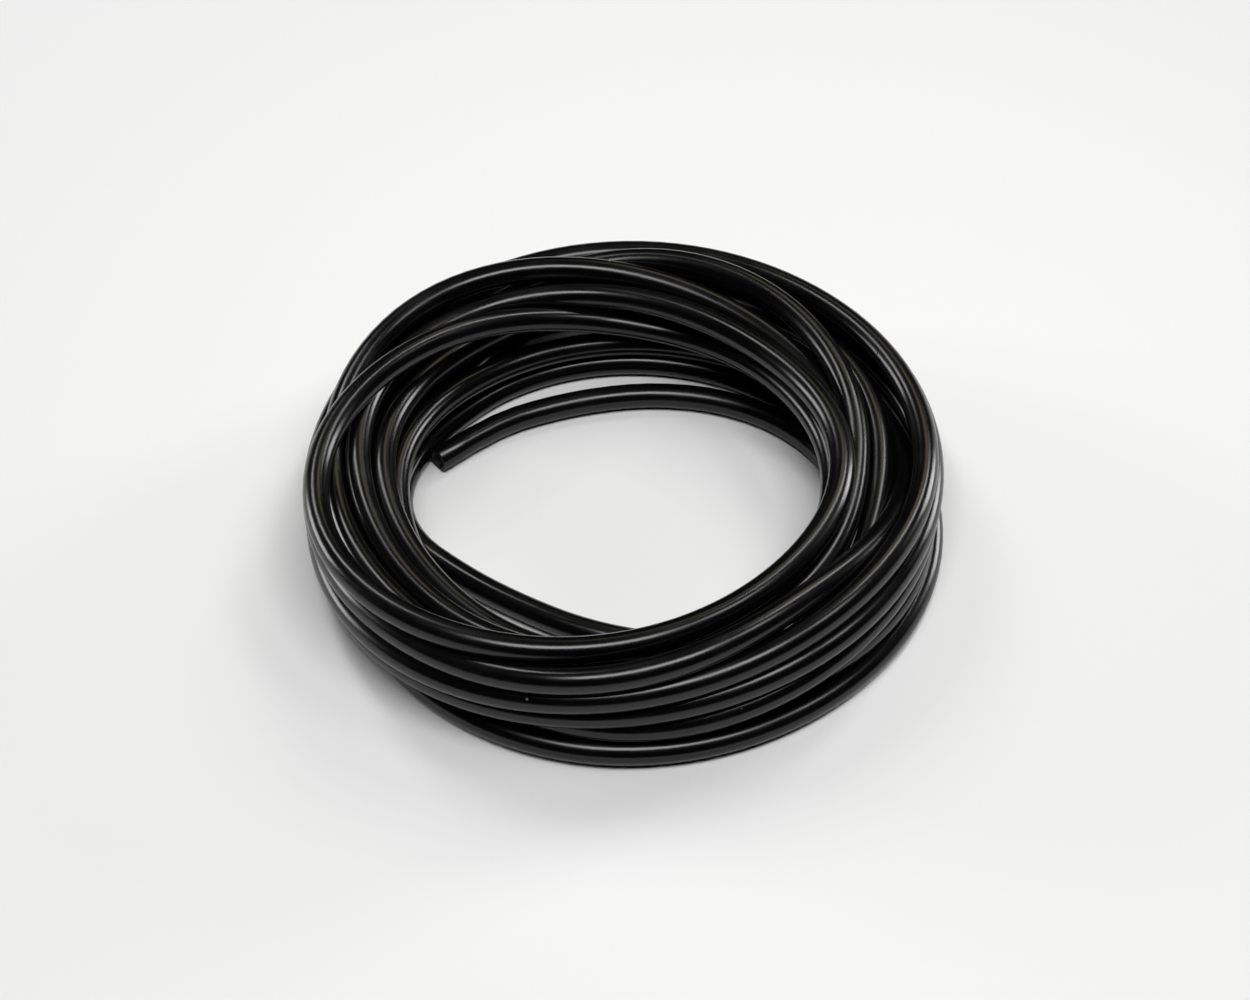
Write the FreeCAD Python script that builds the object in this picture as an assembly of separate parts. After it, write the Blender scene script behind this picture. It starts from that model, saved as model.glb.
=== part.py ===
"""A coil of plain flexible hose: one continuous length, wound loosely, with a bare cut at both ends.

Millimetres, +Z up, the floor at z = 0 and the middle of the whole part on the Z axis. Angles run
counter-clockwise seen from above: 0 right, 90 back, 180 left, 270 front. The free stretches of the
hose are true hollow tubes. The wound part is one closed solid of the coil's loose outer shape.
"""
import FreeCAD
import Part
import math
import os

# The hose
HOSE_DIAMETER = 6.0
BORE_DIAMETER = 4.0

# The coil: radius of the middle of its turns, the gap between turns that touch, which is none, and so how
# far apart the turns lie, centre to centre
COIL_RADIUS = 60.0
TURN_GAP = 0.0
TURN_SPACING = HOSE_DIAMETER + TURN_GAP

# Where the middle of the ring stands, which puts the Z axis in the middle of the whole part
MIDDLE_X = -0.2
MIDDLE_Y = -3.8

# The coil solid stands this much proud of the turns, because they are not packed tight
SLACK = 0.4

# The net that sets the coil solid: its steps along the coil, its points round each outline, the directions
# in which an outline's reach is tried, and how squarely such a direction has to face a point to set it
STEPS_PER_STATION = 2
OUTLINE_POINTS = 8
OUTLINE_DIRECTIONS = 72
LEAST_FACING = 0.1
SURFACE_DEGREE = 3

# How far a smooth line swings past the straight one, halfway between two of its points
SWING = 1 / 16

# An arc of the hose takes this share of the shorter of its two runs. The hose is soft and bends this tight.
ARC_SHARE = 0.45
SMALLEST_BEND = 3 * HOSE_DIAMETER

# The lay of the coil, two lines a turn: left, front left, front and front right, then right, back right,
# back and back left. Each pair is (out from the middle of the turns, up to the centre line), both in turn
# spacings. The last turn leaves the coil after its back left station and runs free.
FIRST_STATION = 180
STATION_STEP = 45
ON_FLOOR = 0.5
LAY = [
    [(0.85, 0.5), (1.05, 0.5), (1.2, 0.5), (1.27, 0.5),
     (1.95, 1.0), (1.85, 1.25), (1.85, 0.9), (0.85, 0.9)],
    [(0.05, 1.5), (-0.45, 1.45), (0.05, 1.5), (0.15, 1.55),
     (-0.05, 1.55), (-0.3, 1.5), (-0.8, 1.5), (-1.1, 2.0)],
    [(-1.12, 2.7), (-1.0, 2.25), (-0.85, 2.1), (-0.75, 2.15),
     (-0.45, 2.75), (-0.75, 3.75), (0.1, 4.5), (1.7, 4.35)],
    [(0.95, 3.4), (0.45, 3.5), (0.15, 2.5), (0.15, 2.9),
     (0.05, 3.6), (0.85, 3.45), (0.2, 3.3), (-0.2, 3.0)],
    [(-0.65, 3.5), (-1.45, 3.0), (-1.35, 3.0), (-1.75, 2.9),
     (-1.9, 3.1), (-1.8, 3.0), (-1.05, 2.75), (-0.75, 4.5)],
    [(1.3, 4.5), (1.2, 4.55), (-0.42, 4.4), (-1.35, 4.3),
     (-1.65, 4.3), (-2.05, 4.2), (-0.95, 4.05), (0.75, 3.75)],
    [(0.1, 3.9), (-0.5, 3.1), (-0.5, 3.35), (-0.95, 3.45),
     (-0.85, 3.7), (0.25, 4.5), (1.15, 4.4), (1.0, 2.75)],
    [(0.85, 2.2), (0.5, 1.5), (1.0, 1.5), (1.25, 2.0),
     (1.95, 2.05), (2.15, 2.25), (2.1, 1.95), (2.15, 1.4)],
    [(1.7, 0.95), (1.35, 1.6), (1.15, 2.45), (1.35, 3.0),
     (1.5, 3.1), (2.35, 3.25), (2.2, 2.95), (2.1, 2.4)],
    [(1.82, 1.9), (1.85, 2.55), (1.35, 3.4), (0.85, 4.25),
     (1.45, 4.25), (1.82, 4.15), (2.1, 3.95), (2.05, 3.4)],
    [(1.68, 2.9), (1.45, 3.5), (0.55, 4.05), (-0.15, 4.35),
     (0.8, 3.0), (1.0, 2.35), (1.2, 3.0), (0.0, 0.7)],
    [(-0.1, 0.5), (0.05, 0.5), (0.15, 0.5), (0.2, 0.5),
     (0.1, 0.5), (-0.45, 0.5), (-0.85, 0.5), (-0.95, 0.5)],
]

# Free stretches, point by point: (angle, out from the middle of the coil, up to the centre line)
OUTER_END = [
    (52, 2.9, 0.5), (69, 2.95, 0.5), (86, 2.95, 0.5), (103, 2.7, 0.5), (120, 2.2, 0.5), (137, 1.7, 0.5),
    (154, 1.25, 0.5),
]
INNER_END = [
    (121, -1.0, 0.5), (134, -0.95, 0.5),
    (147, -0.8, 0.5), (161, -0.7, 0.5), (175, -0.92, 0.5), (188, -1.75, 0.5), (200, -2.85, 0.5),
    (213, -3.6, 0.5), (230, -4.15, 0.5), (249, -4.25, 0.5), (268, -4.0, 0.5), (286, -3.4, 0.5),
    (303, -2.7, 0.5), (319, -2.05, 0.5), (335, -1.5, 0.5), (351, -1.1, 0.5), (367, -0.9, 0.5),
    (384, -1.05, 0.5), (402, -1.5, 0.5), (420, -2.1, 0.5), (439, -2.65, 0.5), (458, -2.97, 0.5),
    (477, -2.9, 0.5), (496, -2.37, 0.5), (515.7, -1.75, 0.5),
]


def place(angle, out, up):
    """A point of the hose's centre line, from its angle and its place in the section of the coil."""
    radius = COIL_RADIUS + out * TURN_SPACING
    height = HOSE_DIAMETER / 2 + (up - ON_FLOOR) * TURN_SPACING
    turned = math.radians(angle)
    return FreeCAD.Vector(MIDDLE_X + radius * math.cos(turned), MIDDLE_Y + radius * math.sin(turned), height)


def halfway(a, b, c, d):
    """The smooth value halfway from b to c, with a and d as the values either side."""
    return (b + c) / 2 + SWING * (b + c - a - d)


def crossings(step):
    """Where the turns cross one section of the coil, as (out, up) pairs, at or halfway between stations."""
    row = [pair for turn in LAY for pair in turn]
    last = len(row) - 1
    found = []
    for i in range(step // STEPS_PER_STATION, last, 360 // STATION_STEP):
        if step % STEPS_PER_STATION == 0:
            found.append(row[i])
        else:
            near = [row[max(i - 1, 0)], row[i], row[i + 1], row[min(i + 2, last)]]
            found.append([halfway(*[pair[axis] for pair in near]) for axis in (0, 1)])
    return found


def net_growth(points):
    """How far out a closed net stands from its smooth curve, for this many points round a circle."""
    return 3 / (2 + math.cos(2 * math.pi / points))


def outline(step, steps):
    """One section of the net of the coil solid: points round the outside of the turns that cross it.

    No point is straight below the middle, so the solid comes down flat and keeps a broad foot.
    """
    pairs = crossings(step)
    middle = [sum(pair[axis] for pair in pairs) / len(pairs) for axis in (0, 1)]
    reach = (HOSE_DIAMETER / 2 + SLACK) / TURN_SPACING
    support = []
    for k in range(OUTLINE_DIRECTIONS):
        way = 2 * math.pi * k / OUTLINE_DIRECTIONS
        far = max((p[0] - middle[0]) * math.cos(way) + (p[1] - middle[1]) * math.sin(way) for p in pairs)
        support.append((way, far + reach))
    angle = FIRST_STATION + STATION_STEP * step / STEPS_PER_STATION
    ring_growth = (net_growth(steps) - 1) * COIL_RADIUS / TURN_SPACING
    points = []
    for k in range(OUTLINE_POINTS):
        way = math.pi * (2 * k + 1) / OUTLINE_POINTS
        facing = [(far, math.cos(way - other)) for other, far in support]
        limits = [far / squareness for far, squareness in facing if squareness > LEAST_FACING]
        out = min(limits) * net_growth(OUTLINE_POINTS)
        across = middle[0] + out * math.cos(way) + ring_growth
        points.append(place(angle, across, middle[1] + out * math.sin(way)))
    return points


def coil():
    """The wound part: a surface closed both ways round, set by its outlines, with a flat foot."""
    steps = STEPS_PER_STATION * 360 // STATION_STEP
    net = [outline(step, steps) for step in range(steps)]
    surface = Part.BSplineSurface()
    surface.buildFromPolesMultsKnots(
        net, [1] * (steps + 1), [1] * (OUTLINE_POINTS + 1), range(steps + 1), range(OUTLINE_POINTS + 1),
        True, True, SURFACE_DEGREE, SURFACE_DEGREE)
    ring = Part.Solid(Part.Shell([surface.toShape()]))
    if ring.Volume < 0:
        ring.reverse()
    far = COIL_RADIUS * 2
    below_floor = Part.makeBox(2 * far, 2 * far, far, FreeCAD.Vector(-far, -far, -far))
    return ring.cut(below_floor)


def hose_path(route, name):
    """Straight runs joined by tangent arcs, each arc as large as its two runs allow."""
    points = [place(*spot) for spot in route]
    edges = []
    start = points[0]
    radii = []
    for before, corner, after in zip(points, points[1:], points[2:]):
        back = before - corner
        ahead = after - corner
        trim = ARC_SHARE * min(back.Length, ahead.Length)
        half_turn = (math.pi - back.getAngle(ahead)) / 2
        radius = trim / math.tan(half_turn)
        enter = corner + back.normalize() * trim
        leave = corner + ahead.normalize() * trim
        inward = (back + ahead).normalize()
        crown = corner + inward * (radius / math.cos(half_turn) - radius)
        edges.append(Part.LineSegment(start, enter).toShape())
        edges.append(Part.Arc(enter, crown, leave).toShape())
        radii.append(radius)
        start = leave
    edges.append(Part.LineSegment(start, points[-1]).toShape())
    print(name, "bend radii", [round(radius) for radius in radii], "smallest allowed", SMALLEST_BEND)
    return Part.Wire(edges)


def swept(path, diameter):
    """A round solid of one diameter along a path."""
    start = path.OrderedEdges[0]
    ring = Part.makeCircle(diameter / 2, start.Vertexes[0].Point, start.tangentAt(start.FirstParameter))
    return path.makePipe(Part.Face(Part.Wire([ring])))


def hose(route, name):
    """A free stretch of the hose, hollow from end to end."""
    path = hose_path(route, name)
    tube = swept(path, HOSE_DIAMETER).cut(swept(path, BORE_DIAMETER))
    wall = math.pi / 4 * (HOSE_DIAMETER ** 2 - BORE_DIAMETER ** 2)
    print(name, "length", round(path.Length, 1), "volume over section times length",
          round(tube.Volume / (wall * path.Length), 4))
    return tube


NODES = {
    "coil": coil(),
    "inner_end": hose(INNER_END, "inner_end"),
    "outer_end": hose(OUTER_END, "outer_end"),
}

os.makedirs("parts", exist_ok=True)
for node, shape in NODES.items():
    print(node, "valid", shape.isValid(), "solids", len(shape.Solids), "volume", round(shape.Volume))
    shape.exportStep("parts/" + node + ".step")
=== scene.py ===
import math

import bmesh
import bpy
import numpy as np
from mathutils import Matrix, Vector


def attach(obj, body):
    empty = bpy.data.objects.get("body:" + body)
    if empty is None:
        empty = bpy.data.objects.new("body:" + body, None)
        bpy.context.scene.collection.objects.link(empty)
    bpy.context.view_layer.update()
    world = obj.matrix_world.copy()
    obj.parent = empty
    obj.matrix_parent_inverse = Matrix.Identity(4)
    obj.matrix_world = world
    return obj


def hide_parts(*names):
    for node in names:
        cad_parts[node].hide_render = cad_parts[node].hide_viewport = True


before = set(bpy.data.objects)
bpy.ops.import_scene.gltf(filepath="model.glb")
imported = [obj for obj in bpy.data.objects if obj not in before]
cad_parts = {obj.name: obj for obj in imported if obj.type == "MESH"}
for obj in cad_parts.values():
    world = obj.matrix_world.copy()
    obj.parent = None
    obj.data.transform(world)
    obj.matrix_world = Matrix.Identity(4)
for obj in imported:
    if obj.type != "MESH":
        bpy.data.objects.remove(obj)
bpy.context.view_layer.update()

# The camera stands in front of the coil and above it, and looks down at the floor in the coil's middle.
# Distances are in metres, and the picture is taken to be 1250 pixels wide.
COIL_MIDDLE = Vector((-0.0002, -0.0038, 0.0))
CAMERA_DISTANCE = 0.552
CAMERA_ELEVATION = math.radians(47.4)
PICTURE_WIDTH = 1250
FOCAL_PIXELS = 2340
MIDDLE_BELOW_PICTURE_CENTRE = 31

lens = bpy.data.cameras.new("camera")
lens.lens = FOCAL_PIXELS / PICTURE_WIDTH * lens.sensor_width
lens.shift_y = MIDDLE_BELOW_PICTURE_CENTRE / PICTURE_WIDTH
camera = bpy.data.objects.new("camera", lens)
towards_camera = Vector((0, -math.cos(CAMERA_ELEVATION), math.sin(CAMERA_ELEVATION)))
camera.location = COIL_MIDDLE + towards_camera * CAMERA_DISTANCE
camera.rotation_euler = (math.pi / 2 - CAMERA_ELEVATION, 0, 0)
bpy.context.collection.objects.link(camera)
bpy.context.scene.camera = camera

# The hose is one length of plain extruded tube, smooth and glossy outside, wound by hand into a loose coil.
# Nothing ties it. Each end is a bare cut: one lies free inside the coil, the other on the floor behind it.
HOSE = 0.006
COIL_RADIUS = 0.060
TURN_SPACING = 0.006
ON_FLOOR = 0.5
# Each row is one turn from the left round by the front, and each pair is (out, up) in turn spacings:
# left, front left, front, front right, right, back right, back, back left.
LAY = [
    [(0.85, 0.5), (1.05, 0.5), (1.2, 0.5), (1.45, 0.5),
     (1.95, 0.6), (1.85, 1.25), (1.85, 0.9), (0.85, 0.9)],
    [(0.05, 1.5), (-0.45, 1.45), (0.05, 1.5), (1.15, 1.4),
     (1.5, 1.45), (-0.1, 1.5), (-0.8, 1.5), (-1.1, 2.0)],
    [(-1.1, 2.6), (-1.35, 1.8), (-0.85, 2.1), (-0.75, 2.15),
     (-0.45, 2.75), (-0.75, 3.75), (0.1, 4.5), (1.7, 4.35)],
    [(1.25, 3.4), (0.7, 3.3), (0.15, 2.5), (0.15, 2.9),
     (0.05, 3.6), (0.85, 3.45), (0.2, 3.3), (-0.2, 3.0)],
    [(-0.55, 3.4), (-1.1, 2.6), (-0.95, 2.6), (-1.75, 2.9),
     (-1.9, 3.1), (-1.8, 3.0), (-1.05, 2.75), (-0.75, 4.5)],
    [(1.45, 4.5), (1.75, 4.45), (-0.2, 4.3), (-1.5, 4.3),
     (-1.65, 4.3), (-2.05, 4.2), (-0.95, 4.05), (0.75, 3.75)],
    [(0.5, 3.8), (-0.2, 2.95), (-0.45, 3.3), (-0.95, 3.45),
     (-0.85, 3.7), (0.25, 4.5), (1.15, 4.4), (1.0, 2.75)],
    [(0.85, 2.2), (0.5, 1.5), (1.0, 1.48), (1.15, 2.35),
     (1.6, 2.4), (2.15, 2.25), (2.1, 1.95), (2.15, 1.4)],
    [(1.7, 0.95), (1.35, 1.6), (0.85, 2.45), (1.05, 3.3),
     (1.35, 3.35), (2.35, 3.25), (2.2, 2.95), (2.1, 2.4)],
    [(1.82, 1.9), (1.75, 2.6), (1.05, 3.4), (0.85, 4.25),
     (1.42, 4.3), (1.82, 4.15), (2.1, 3.95), (2.05, 3.4)],
    [(1.68, 2.9), (1.35, 3.5), (1.0, 4.35), (-0.1, 4.4),
     (0.8, 3.0), (1.0, 2.35), (1.2, 3.0), (0.05, 0.65)],
    [(0.0, 0.5), (0.1, 0.5), (0.15, 0.5), (0.2, 0.5),
     (0.1, 0.5), (-0.45, 0.5), (-0.85, 0.5), (-0.95, 0.5)],
]
FIRST_STATION = 180
STATION_STEP = 45
# Where the turns' line is heading just before the first pair and just after the last.
BEFORE_FIRST = (1.75, 0.5)
AFTER_LAST = (-1.1, 0.5)
# The two ends, which leave the coil, as (angle, out, up).
OUTER_END = [
    (52, 2.9, 0.5), (69, 2.95, 0.5), (86, 2.95, 0.5), (103, 2.7, 0.5), (120, 2.2, 0.5), (137, 1.7, 0.5),
    (154, 1.25, 0.5),
]
INNER_END = [
    (147, -0.86, 0.5), (161, -0.8, 0.5), (175, -0.98, 0.5), (188, -1.75, 0.5), (200, -2.85, 0.5),
    (213, -3.6, 0.5), (230, -4.15, 0.5), (249, -4.25, 0.5), (268, -4.0, 0.5), (286, -3.4, 0.5),
    (303, -2.7, 0.5), (319, -2.05, 0.5), (335, -1.5, 0.5), (351, -1.1, 0.5), (367, -0.9, 0.5),
    (384, -1.05, 0.5), (402, -1.5, 0.5), (420, -2.1, 0.5), (439, -2.65, 0.5), (458, -2.97, 0.5),
    (477, -2.9, 0.5), (496, -2.37, 0.5), (515.7, -1.75, 0.5),
]
# The turns' own points along the line, and how they are eased apart: in how many rounds, and by what share
# of an overlap in each. Points less than half a turn from each other are the same stretch of hose.
POINTS_PER_STATION = 4.5
POINTS_IN_HALF_TURN = 18
EASING_ROUNDS = 80
EASING_SHARE = 0.4
NEVER_ZERO = 1e-9
LINE_FINENESS = 3


def place(angle, out, up):
    """The point that a pair at an angle stands for: across the floor, and up from it."""
    radius = COIL_RADIUS + out * TURN_SPACING
    turn = np.radians(angle)
    height = HOSE / 2 + (up - ON_FLOOR) * TURN_SPACING
    return np.stack([
        COIL_MIDDLE.x + radius * np.cos(turn),
        COIL_MIDDLE.y + radius * np.sin(turn),
        height,
    ], axis=-1)


def smooth_between(values, steps):
    """A smooth line through evenly spaced values, read at steps, by a natural cubic spline."""
    count = len(values)
    system = np.eye(count)
    pull = np.zeros(count)
    for i in range(1, count - 1):
        system[i, i - 1:i + 2] = (1, 4, 1)
        pull[i] = 6 * (values[i - 1] - 2 * values[i] + values[i + 1])
    bend = np.linalg.solve(system, pull)
    left = np.clip(np.floor(steps).astype(int), 0, count - 2)
    t = steps - left
    straight = (1 - t) * values[left] + t * values[left + 1]
    curve = ((1 - t) ** 3 - (1 - t)) * bend[left] + (t ** 3 - t) * bend[left + 1]
    return straight + curve / 6


def eased_apart(route, free):
    """The route with its turns pushed off each other until they hardly overlap, where free is 1."""
    home = route.copy()
    index = np.arange(len(route))
    same_stretch = np.abs(index[:, None] - index[None, :-1]) < POINTS_IN_HALF_TURN
    for _ in range(EASING_ROUNDS):
        runs = np.diff(route, axis=0)
        offset = route[:, None] - route[None, :-1]
        along = (offset * runs).sum(-1) / (runs ** 2).sum(-1)
        closest = route[:-1] + np.clip(along, 0, 1)[..., None] * runs
        gap = route[:, None] - closest
        distance = np.linalg.norm(gap, axis=-1) + NEVER_ZERO
        overlap = np.where(same_stretch, 0, np.clip(HOSE - distance, 0, None))
        push = (gap * (overlap / distance)[..., None]).sum(1) * EASING_SHARE
        route = route + push * free[:, None]
        moved = route - home
        moved[1:-1] = (moved[:-2] + 2 * moved[1:-1] + moved[2:]) / 4
        route = home + moved * free[:, None]
        route[:, 2] = np.maximum(route[:, 2], HOSE / 2)
    return route


stations = np.array([BEFORE_FIRST] + [pair for turn in LAY for pair in turn] + [AFTER_LAST])
steps = np.arange(1, len(stations) - 2, 1 / POINTS_PER_STATION)
turns = place(
    FIRST_STATION + (steps - 1) * STATION_STEP,
    smooth_between(stations[:, 0], steps),
    smooth_between(stations[:, 1], steps),
)
start = np.array([place(*point) for point in OUTER_END])
finish = np.array([place(*point) for point in INNER_END])
free = np.zeros(len(start) + len(turns) + len(finish))
free[len(start):len(start) + len(turns)] = 1
route = eased_apart(np.concatenate([start, turns, finish]), free)

line = bpy.data.curves.new("hose_line", "CURVE")
line.dimensions = "3D"
line.resolution_u = LINE_FINENESS
spline = line.splines.new("NURBS")
spline.points.add(len(route) - 1)
for point, where in zip(spline.points, route):
    point.co = (*where, 1)
spline.order_u = 3
spline.use_endpoint_u = True
line_object = bpy.data.objects.new("hose_line", line)
bpy.context.collection.objects.link(line_object)
line_mesh = bpy.data.meshes.new_from_object(line_object)
path = np.array([vertex.co[:] for vertex in line_mesh.vertices])
bpy.data.objects.remove(line_object)
bpy.data.meshes.remove(line_mesh)

# The hose's wall is drawn as one skin: along the outside, over the far cut, back down the bore and over the
# near cut. A knife leaves both edges of a cut a little soft.
BORE = 0.004
SIDES = 30
CUT_EDGE = 0.00012


def hose_wall(middles):
    """The closed wall of the hose along its middle line.

    Its own map is the share of the way round, and metres along.
    """
    heading = np.gradient(middles, axis=0)
    heading /= np.linalg.norm(heading, axis=1)[:, None]
    lengths = np.concatenate([[0], np.cumsum(np.linalg.norm(np.diff(middles, axis=0), axis=1))])
    up = np.array([0, 0, 1.0])
    frames = []
    for ahead in heading:
        up = up - ahead * (up @ ahead)
        up /= np.linalg.norm(up)
        frames.append((up, np.cross(ahead, up)))
    last = len(middles) - 1
    outer = HOSE / 2
    inner = BORE / 2
    # Each ring is the point of the line that it goes round, how far past it, and how wide it is.
    rings = [(0, 0, outer - CUT_EDGE), (0, CUT_EDGE, outer)]
    rings += [(i, 0, outer) for i in range(1, last)]
    rings += [(last, -CUT_EDGE, outer), (last, 0, outer - CUT_EDGE)]
    far_cut = len(rings) - 1
    rings += [(last, 0, inner + CUT_EDGE), (last, -CUT_EDGE, inner)]
    rings += [(i, 0, inner) for i in range(last - 1, 0, -1)]
    rings += [(0, CUT_EDGE, inner), (0, 0, inner + CUT_EDGE)]
    near_cut = len(rings) - 1
    mesh = bmesh.new()
    around = mesh.loops.layers.uv.new("along_hose")
    turned = [2 * math.pi * k / SIDES for k in range(SIDES)]
    skins = []
    for i, ahead, radius in rings:
        middle = middles[i] + ahead * heading[i]
        up, side = frames[i]
        skins.append([
            mesh.verts.new(middle + radius * (math.cos(turn) * up + math.sin(turn) * side))
            for turn in turned
        ])
    for j, (i, ahead, radius) in enumerate(rings):
        other = (j + 1) % len(rings)
        start = lengths[i] + ahead
        end = lengths[rings[other][0]] + rings[other][1]
        for k in range(SIDES):
            after = (k + 1) % SIDES
            face = mesh.faces.new([skins[j][k], skins[j][after], skins[other][after], skins[other][k]])
            face.smooth = j not in (far_cut, near_cut)
            face.material_index = 0 if j < far_cut else 1
            spots = [(k, start), (k + 1, start), (k + 1, end), (k, end)]
            for loop, (step, along) in zip(face.loops, spots):
                loop[around].uv = (step / SIDES, along)
    wall = bpy.data.meshes.new("hose")
    mesh.to_mesh(wall)
    mesh.free()
    return wall


hose = bpy.data.objects.new("hose", hose_wall(path))
bpy.context.collection.objects.link(hose)

# The finish of the hose: soft black plastic straight from the die. It is glossy, with fine draw lines along
# it, a slow ripple from the haul-off, a breath of haze, a few scuffs from handling and a little dust.
BLACK = (0.0016, 0.0016, 0.0018, 1)
REFLECTANCE = 0.42
GLOSS = 0.21
# Marks are counted to the metre, apart from the draw lines, which are counted to the hose's radius. Heights
# and depths are in metres.
HAZE = 85.0
HAZE_DETAIL = 4.0
HAZE_SPREAD = (0.35, 0.7)
HAZED_GLOSS = (GLOSS - 0.02, GLOSS + 0.06)
SCUFFS = 260.0
SCUFF_DETAIL = 5.0
SCUFF_RAGGEDNESS = 0.7
SCUFF_SPREAD = (0.70, 0.76)
SCUFF_DULLNESS = 0.22
SCUFF_DEPTH = 0.00002
RIPPLES = 45.0
RIPPLE_DETAIL = 1.0
RIPPLE_HEIGHT = 0.00007
DRAW_LINES = 9.0
DRAW_LINE_HEIGHT = 0.0000025
STREAK_DETAIL = 3.0
STREAK_RAGGEDNESS = 0.65
DUST = (0.16, 0.15, 0.14, 1)
DUST_DULLNESS = 0.4
DUST_CELLS = 240.0
DUST_SHARE = 0.05
SPECK_SIZES = (0.02, 0.075)
CUT_ROUGHNESS = 0.6
CUT_DUST_CELLS = 900.0
CUT_DUST_SHARE = 0.04
KNIFE_DRAG = (1.0, 1.0, 0.08)
KNIFE_LINES = 3500.0
KNIFE_LINE_HEIGHT = 0.00004


def add(tree, kind, feeds, **settings):
    """A node with its settings made and its inputs fed, each by a value or by another node's output."""
    node = tree.nodes.new(kind)
    for name, value in settings.items():
        setattr(node, name, value)
    for socket, value in feeds.items():
        if isinstance(value, bpy.types.NodeSocket):
            tree.links.new(value, node.inputs[socket])
        else:
            node.inputs[socket].default_value = value
    return node


def spread(tree, value, low_high, to=(0.0, 1.0)):
    """A value between two limits, spread from one number to another."""
    return add(tree, "ShaderNodeMapRange", {
        "Value": value,
        "From Min": low_high[0],
        "From Max": low_high[1],
        "To Min": to[0],
        "To Max": to[1],
    }).outputs[0]


def sum_up(tree, operation, *values):
    """A sum done on one, two or three values."""
    return add(tree, "ShaderNodeMath", dict(enumerate(values)), operation=operation).outputs[0]


def effect(name, takes, gives):
    """An empty node group with named inputs and outputs."""
    tree = bpy.data.node_groups.new(name, "ShaderNodeTree")
    for label, kind in takes.items():
        tree.interface.new_socket(label, in_out="INPUT", socket_type=kind)
    for label, kind in gives.items():
        tree.interface.new_socket(label, in_out="OUTPUT", socket_type=kind)
    inputs = tree.nodes.new("NodeGroupInput").outputs
    outputs = tree.nodes.new("NodeGroupOutput").inputs
    return tree, inputs, outputs


def streaks_effect():
    """Uneven lines that run along Z, and are longer where the place changes little along it."""
    tree, takes, gives = effect(
        "drawn_streaks",
        {"Place": "NodeSocketVector", "Fineness": "NodeSocketFloat"},
        {"Height": "NodeSocketFloat"},
    )
    lines = add(tree, "ShaderNodeTexNoise", {
        "Vector": takes["Place"],
        "Scale": takes["Fineness"],
        "Detail": STREAK_DETAIL,
        "Roughness": STREAK_RAGGEDNESS,
    })
    tree.links.new(lines.outputs["Fac"], gives["Height"])
    return tree


def dust_effect():
    """Specks of dust: round spots, each in a cell of its own, in only a few of the cells."""
    tree, takes, gives = effect(
        "dust_specks",
        {"Place": "NodeSocketVector", "Cells": "NodeSocketFloat", "Share": "NodeSocketFloat"},
        {"Mask": "NodeSocketFloat"},
    )
    cells = add(tree, "ShaderNodeTexVoronoi", {"Vector": takes["Place"], "Scale": takes["Cells"]})
    pick = add(tree, "ShaderNodeSeparateColor", {"Color": cells.outputs["Color"]})
    size = spread(tree, pick.outputs["Green"], (0.0, 1.0), SPECK_SIZES)
    near = sum_up(tree, "LESS_THAN", cells.outputs["Distance"], size)
    chosen = sum_up(tree, "LESS_THAN", pick.outputs["Red"], takes["Share"])
    tree.links.new(sum_up(tree, "MULTIPLY", near, chosen), gives["Mask"])
    return tree


streaks = streaks_effect()
dust = dust_effect()


def plastic(name, roughness):
    """A material of the hose's black plastic, with its tree, its shader and its place in the object."""
    material = bpy.data.materials.new(name)
    material.use_nodes = True
    tree = material.node_tree
    shader = tree.nodes["Principled BSDF"]
    shader.inputs["Base Color"].default_value = BLACK
    shader.inputs["Roughness"].default_value = roughness
    shader.inputs["Specular IOR Level"].default_value = REFLECTANCE
    return material, tree, shader, add(tree, "ShaderNodeTexCoord", {}).outputs["Object"]


def dusted(tree, shader, place, cells, share):
    """Lays specks of dust over the black, and gives their mask."""
    specks = add(tree, "ShaderNodeGroup", {"Place": place, "Cells": cells, "Share": share}, node_tree=dust)
    mask = specks.outputs["Mask"]
    colour = add(tree, "ShaderNodeMix", {"Factor": mask, "A": BLACK, "B": DUST}, data_type="RGBA")
    tree.links.new(colour.outputs["Result"], shader.inputs["Base Color"])
    return mask


def raised(tree, height, metres, below=None):
    """The surface's normal where a height between 0 and 1 stands proud by so many metres."""
    feeds = {"Height": height, "Distance": metres, "Strength": 1.0}
    if below is not None:
        feeds["Normal"] = below
    return add(tree, "ShaderNodeBump", feeds).outputs["Normal"]


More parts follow.
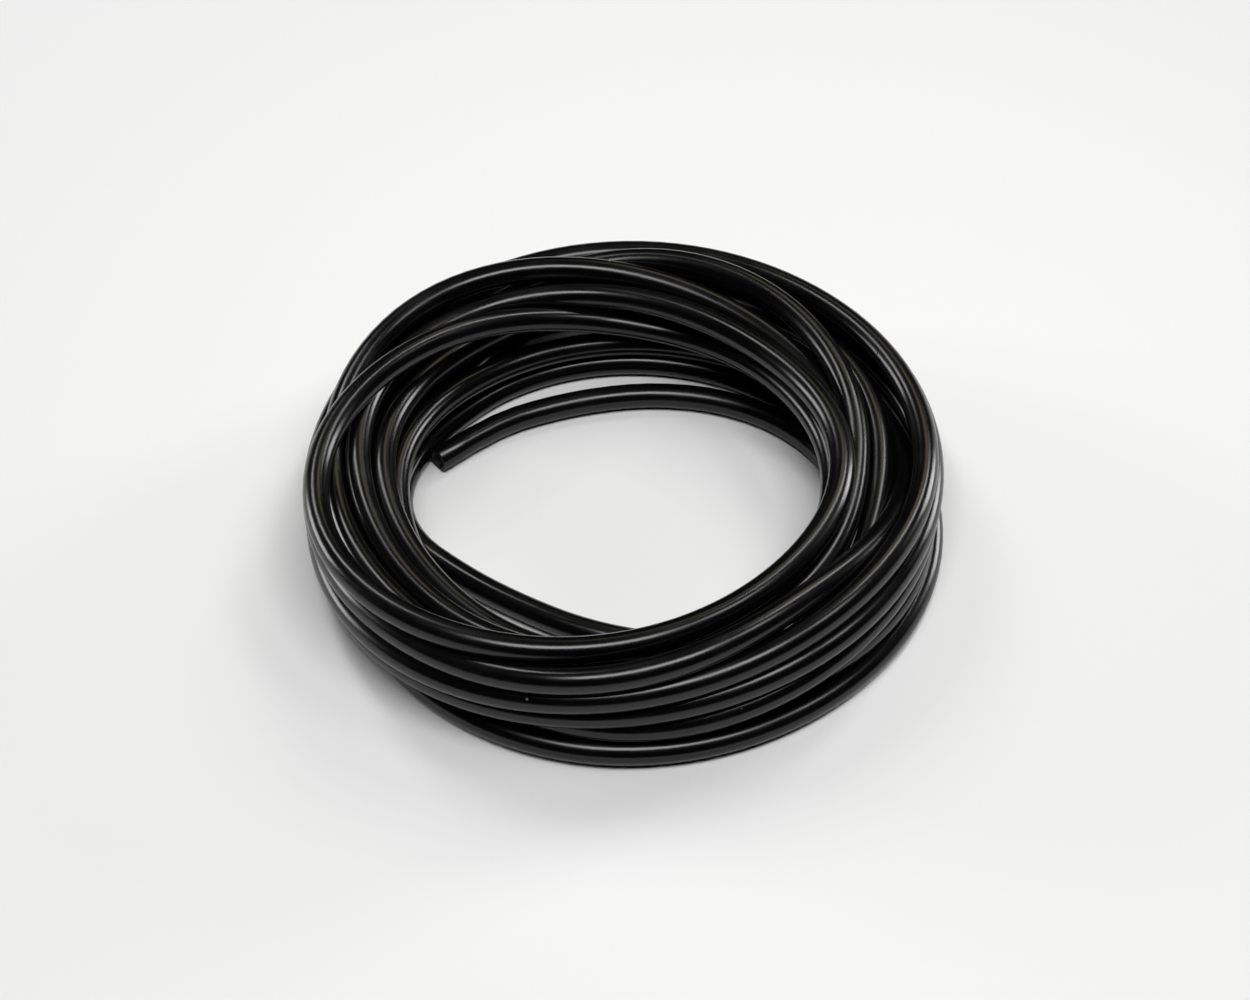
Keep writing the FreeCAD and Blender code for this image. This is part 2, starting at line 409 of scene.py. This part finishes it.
def outside_of_hose():
    """The glossy outside, read round and along the hose so that its draw lines follow every bend."""
    material, tree, shader, place = plastic("black_gloss_hose", GLOSS)
    hose_map = add(tree, "ShaderNodeUVMap", {}, uv_map="along_hose").outputs[0]
    spot = add(tree, "ShaderNodeSeparateXYZ", {0: hose_map}).outputs
    turn = sum_up(tree, "MULTIPLY", spot["X"], 2 * math.pi)
    round_hose = add(tree, "ShaderNodeCombineXYZ", {
        0: sum_up(tree, "COSINE", turn),
        1: sum_up(tree, "SINE", turn),
        2: spot["Y"],
    }).outputs[0]
    lines = add(tree, "ShaderNodeGroup", {"Place": round_hose, "Fineness": DRAW_LINES}, node_tree=streaks)
    ripple = add(tree, "ShaderNodeTexNoise", {
        "W": spot["Y"], "Scale": RIPPLES, "Detail": RIPPLE_DETAIL}, noise_dimensions="1D")
    haze = add(tree, "ShaderNodeTexNoise", {"Vector": place, "Scale": HAZE, "Detail": HAZE_DETAIL})
    scuffs = add(tree, "ShaderNodeTexNoise", {
        "Vector": place, "Scale": SCUFFS, "Detail": SCUFF_DETAIL, "Roughness": SCUFF_RAGGEDNESS})
    scuffed = spread(tree, scuffs.outputs["Fac"], SCUFF_SPREAD)
    hazed = spread(tree, haze.outputs["Fac"], HAZE_SPREAD, HAZED_GLOSS)
    rubbed = sum_up(tree, "MULTIPLY_ADD", scuffed, SCUFF_DULLNESS, hazed)
    mask = dusted(tree, shader, place, DUST_CELLS, DUST_SHARE)
    dulled = sum_up(tree, "MULTIPLY_ADD", mask, DUST_DULLNESS, rubbed)
    tree.links.new(dulled, shader.inputs["Roughness"])
    slow = raised(tree, ripple.outputs["Fac"], RIPPLE_HEIGHT)
    fine = raised(tree, lines.outputs["Height"], DRAW_LINE_HEIGHT, slow)
    nick = raised(tree, scuffed, SCUFF_DEPTH, fine)
    tree.links.new(nick, shader.inputs["Normal"])
    return material


def cut_and_bore():
    """The dull cut faces, with the drag of the knife across them, and the dark bore."""
    material, tree, shader, place = plastic("cut_black_plastic", CUT_ROUGHNESS)
    drag = add(tree, "ShaderNodeMapping", {"Vector": place, "Scale": KNIFE_DRAG}).outputs[0]
    knife = add(tree, "ShaderNodeGroup", {"Place": drag, "Fineness": KNIFE_LINES}, node_tree=streaks)
    dusted(tree, shader, place, CUT_DUST_CELLS, CUT_DUST_SHARE)
    tree.links.new(raised(tree, knife.outputs["Height"], KNIFE_LINE_HEIGHT), shader.inputs["Normal"])
    return material


hose.data.materials.append(outside_of_hose())
hose.data.materials.append(cut_and_bore())

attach(hose, "hose")
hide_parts("coil", "inner_end", "outer_end")

# The floor is a plain matt white table top. Away from the coil, past its shadow, it runs into a sweep that
# is seen at one even white, by the eye and in the gloss of the hose, however the lamps fall on it there.
FLOOR_HALF = 8.0
FLOOR_WHITE = (0.86, 0.86, 0.86, 1)
MATT = 1.0
SWEEP_STARTS = 0.12
SWEEP_WHOLE = 0.38

corners = [(-FLOOR_HALF, -FLOOR_HALF, 0), (FLOOR_HALF, -FLOOR_HALF, 0),
           (FLOOR_HALF, FLOOR_HALF, 0), (-FLOOR_HALF, FLOOR_HALF, 0)]
floor_mesh = bpy.data.meshes.new("floor")
floor_mesh.from_pydata(corners, [], [(0, 1, 2, 3)])
floor = bpy.data.objects.new("floor", floor_mesh)
bpy.context.collection.objects.link(floor)

white = bpy.data.materials.new("white_table_top")
white.use_nodes = True
tree = white.node_tree
top = tree.nodes["Principled BSDF"]
top.inputs["Base Color"].default_value = FLOOR_WHITE
top.inputs["Roughness"].default_value = MATT
top.inputs["Specular IOR Level"].default_value = 0.0
place_on_floor = add(tree, "ShaderNodeTexCoord", {}).outputs["Object"]
from_middle = add(tree, "ShaderNodeVectorMath", {0: place_on_floor}, operation="LENGTH").outputs["Value"]
far_out = add(tree, "ShaderNodeMapRange", {
    "Value": from_middle, "From Min": SWEEP_STARTS, "From Max": SWEEP_WHOLE}, interpolation_type="SMOOTHSTEP")
rays = add(tree, "ShaderNodeLightPath", {}).outputs
eye_or_gloss = sum_up(tree, "ADD", rays["Is Camera Ray"], rays["Is Glossy Ray"])
seen = sum_up(tree, "ADD", eye_or_gloss, rays["Is Transmission Ray"])
share = sum_up(tree, "MULTIPLY", seen, far_out.outputs[0])
sweep = add(tree, "ShaderNodeEmission", {"Color": FLOOR_WHITE, "Strength": 1.0}).outputs[0]
surface = add(tree, "ShaderNodeMixShader", {0: share, 1: top.outputs[0], 2: sweep}).outputs[0]
tree.links.new(surface, tree.nodes["Material Output"].inputs["Surface"])
floor_mesh.materials.append(white)

# The studio is dark but for its soft lamps: a wide one overhead and a small one to its right, two at the
# back, a dim warm one high behind those, and two large ones that stand low and far off at the sides.
studio = bpy.data.worlds.new("studio")
bpy.context.scene.world = studio
studio.use_nodes = True
studio.node_tree.nodes["Background"].inputs["Strength"].default_value = 0.0
WARM_WHITE = (1.0, 0.88, 0.62)


def softbox(name, towards, distance, size, brightness, colour=(1, 1, 1)):
    """A soft lamp that faces the coil. Its brightness is its face's, where a lit white floor's is about 1."""
    width, height = size
    lamp = bpy.data.lights.new(name, "AREA")
    lamp.shape = "RECTANGLE"
    lamp.size = width
    lamp.size_y = height
    lamp.energy = brightness * math.pi * width * height
    lamp.color = colour
    light = bpy.data.objects.new(name, lamp)
    towards = Vector(towards).normalized()
    light.location = COIL_MIDDLE + towards * distance
    light.rotation_euler = towards.to_track_quat("Z", "Y").to_euler()
    light.visible_camera = False
    bpy.context.collection.objects.link(light)


softbox("overhead", towards=(0.06, -0.29, 0.95), distance=0.9, size=(0.60, 0.27), brightness=10.0)
softbox("overhead_right", towards=(0.50, -0.04, 0.86), distance=0.9, size=(0.18, 0.20), brightness=6.0)
softbox("back_left", towards=(-0.40, 0.50, 0.77), distance=0.9, size=(0.15, 0.44), brightness=8.0)
softbox("back_right", towards=(0.40, 0.50, 0.77), distance=0.9, size=(0.13, 0.44), brightness=8.0)
softbox("warm_back", towards=(0.17, 0.67, 0.72), distance=1.2, size=(0.30, 0.34), brightness=1.6,
        colour=WARM_WHITE)
softbox("low_left", towards=(-0.93, 0.32, 0.20), distance=2.0, size=(0.90, 0.65), brightness=8.5)
softbox("low_right", towards=(0.84, 0.50, 0.22), distance=2.0, size=(0.52, 0.80), brightness=10.5)

bpy.context.scene.view_settings.view_transform = "Standard"
